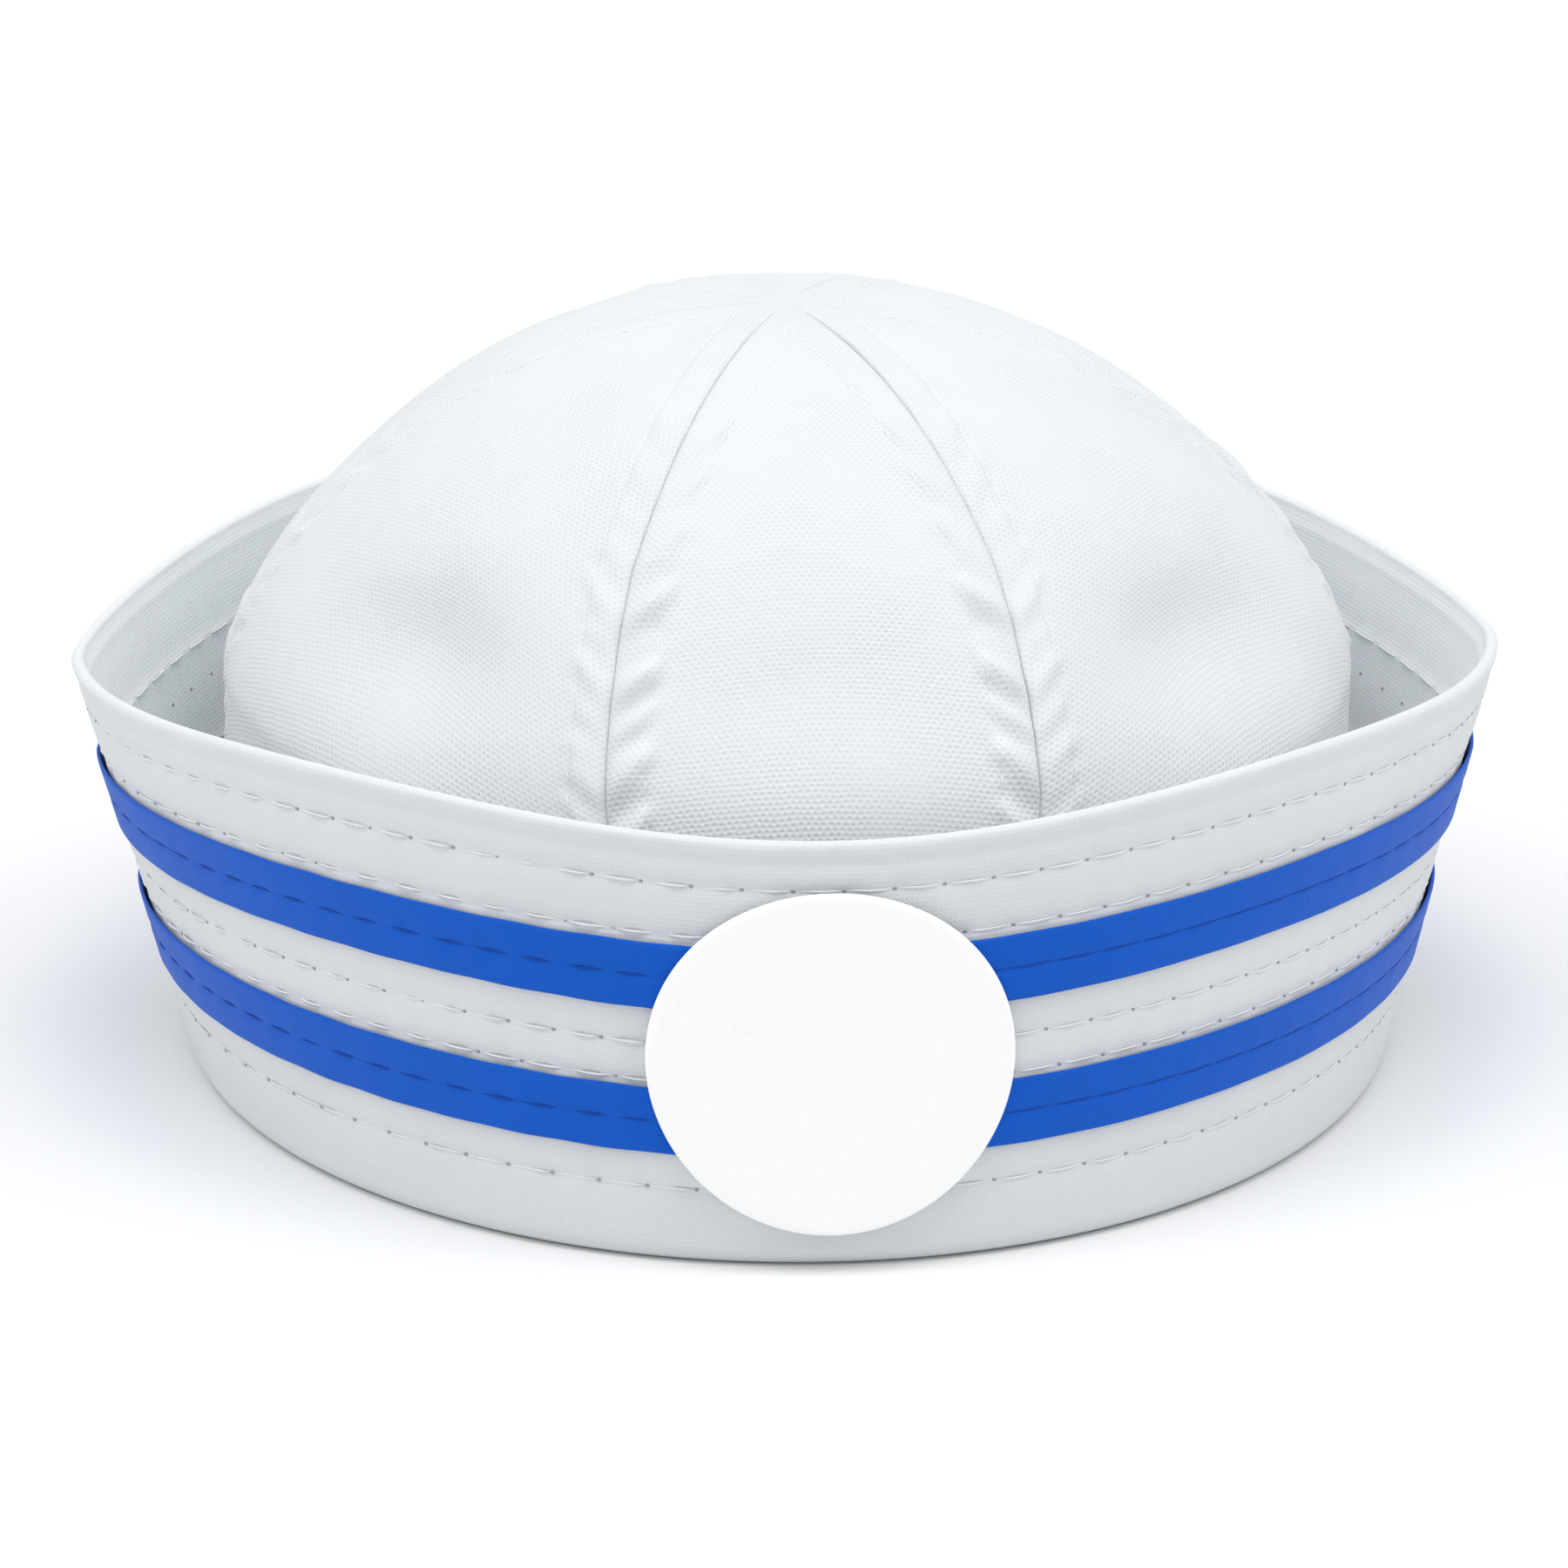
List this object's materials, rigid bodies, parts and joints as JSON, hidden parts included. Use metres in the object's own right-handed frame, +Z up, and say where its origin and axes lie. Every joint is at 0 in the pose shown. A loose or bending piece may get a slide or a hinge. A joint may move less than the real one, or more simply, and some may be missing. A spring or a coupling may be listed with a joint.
{
  "type": "sailor hat",
  "caption": "White cotton sailor hat with a domed gored crown, a tall turned-up brim, two blue ribbons and a blank round front patch.",
  "frame": {"origin": "middle of the hat's base, on the surface that it rests on", "axes": "+Z up through the crown, -Y out of the hat's front, +X to the right as the front is looked at"},
  "size_m": [0.2262, 0.2221, 0.1177],
  "materials": {
    "cotton": "matte canvas weave",
    "ribbon": "soft satin",
    "patch": "matte, blank"
  },
  "bodies": {
    "root": {"gore_front": "cotton", "gore_front_right": "cotton", "gore_back_right": "cotton", "gore_back": "cotton", "gore_back_left": "cotton", "gore_front_left": "cotton", "brim": "cotton", "ribbon_upper": "ribbon", "ribbon_lower": "ribbon", "patch": "patch"}
  },
  "joints": []
}
